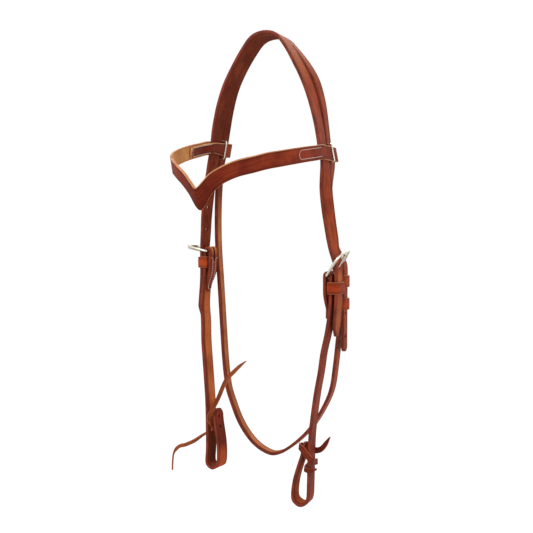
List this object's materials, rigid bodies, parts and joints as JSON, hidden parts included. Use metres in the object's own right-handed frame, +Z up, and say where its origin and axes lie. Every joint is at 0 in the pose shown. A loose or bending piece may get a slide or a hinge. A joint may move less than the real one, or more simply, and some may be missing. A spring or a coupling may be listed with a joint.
{
  "type": "western headstall",
  "caption": "Western headstall in harness leather: slit crown with throatlatch, V-shaped browband, buckled cheek straps and bit loops tied with leather laces.",
  "frame": {"origin": "the underside of the crown at the poll, in the middle of the crown's width, where it rests on the horse's head", "axes": "+X to the horse's near (left) side, +Y backwards, so the browband is at -Y, +Z up"},
  "size_m": [0.1989, 0.1809, 0.5022],
  "materials": {
    "crown_leather": "oiled harness leather, chestnut, soft gloss",
    "browband_leather": "oiled harness leather, chestnut, soft gloss",
    "cheek_leather": "oiled harness leather, chestnut, soft gloss",
    "keeper_leather": "oiled harness leather, a little lighter",
    "lace_leather": "latigo lace, satin",
    "buckle_steel": "polished stainless wire"
  },
  "bodies": {
    "crown": {"crown_strap": "crown_leather", "near_cheek_strap": "cheek_leather", "off_cheek_strap": "cheek_leather", "near_cheek_keeper": "keeper_leather", "off_cheek_keeper": "keeper_leather", "throat_fixed_keeper": "keeper_leather", "near_tie_lace": "lace_leather", "off_tie_lace": "lace_leather"},
    "browband": {"browband": "browband_leather", "near_browband_loop": "buckle_steel", "off_browband_loop": "buckle_steel"},
    "near_frame": {"near_cheek_buckle_frame": "buckle_steel"},
    "near_tongue": {"near_cheek_buckle_tongue": "buckle_steel"},
    "off_frame": {"off_cheek_buckle_frame": "buckle_steel"},
    "off_tongue": {"off_cheek_buckle_tongue": "buckle_steel"},
    "throat_frame": {"throat_buckle_frame": "buckle_steel"},
    "throat_tongue": {"throat_buckle_tongue": "buckle_steel"},
    "throat_keeper": {"throat_sliding_keeper": "keeper_leather"}
  },
  "joints": [
    {"name": "browband_slide", "type": "slide", "parent": "crown", "child": "browband", "axis": [0, 0, 1], "range_m": [-0.0018, 0.0018]},
    {"name": "near_frame_swing", "type": "hinge", "parent": "crown", "child": "near_frame", "pos_m": [0.0735, -0.004, -0.2584], "axis": [0, 1, 0], "range_deg": [-6, 0]},
    {"name": "near_tongue_swing", "type": "hinge", "parent": "crown", "child": "near_tongue", "pos_m": [0.0735, -0.004, -0.2584], "axis": [0, 1, 0], "range_deg": [0, 4]},
    {"name": "off_frame_swing", "type": "hinge", "parent": "crown", "child": "off_frame", "pos_m": [-0.0735, -0.004, -0.234], "axis": [0, 1, 0], "range_deg": [0, 50]},
    {"name": "off_tongue_swing", "type": "hinge", "parent": "crown", "child": "off_tongue", "pos_m": [-0.0735, -0.004, -0.234], "axis": [0, 1, 0], "range_deg": [-6, 0]},
    {"name": "throat_frame_swing", "type": "hinge", "parent": "crown", "child": "throat_frame", "pos_m": [0.0735, 0.02, -0.25], "axis": [0, 1, 0], "range_deg": [-8, 0]},
    {"name": "throat_tongue_swing", "type": "hinge", "parent": "crown", "child": "throat_tongue", "pos_m": [0.0735, 0.02, -0.25], "axis": [0, 1, 0], "range_deg": [0, 5]},
    {"name": "throat_keeper_slide", "type": "slide", "parent": "crown", "child": "throat_keeper", "axis": [0, 0, -1], "range_m": [0, 0.016]}
  ]
}
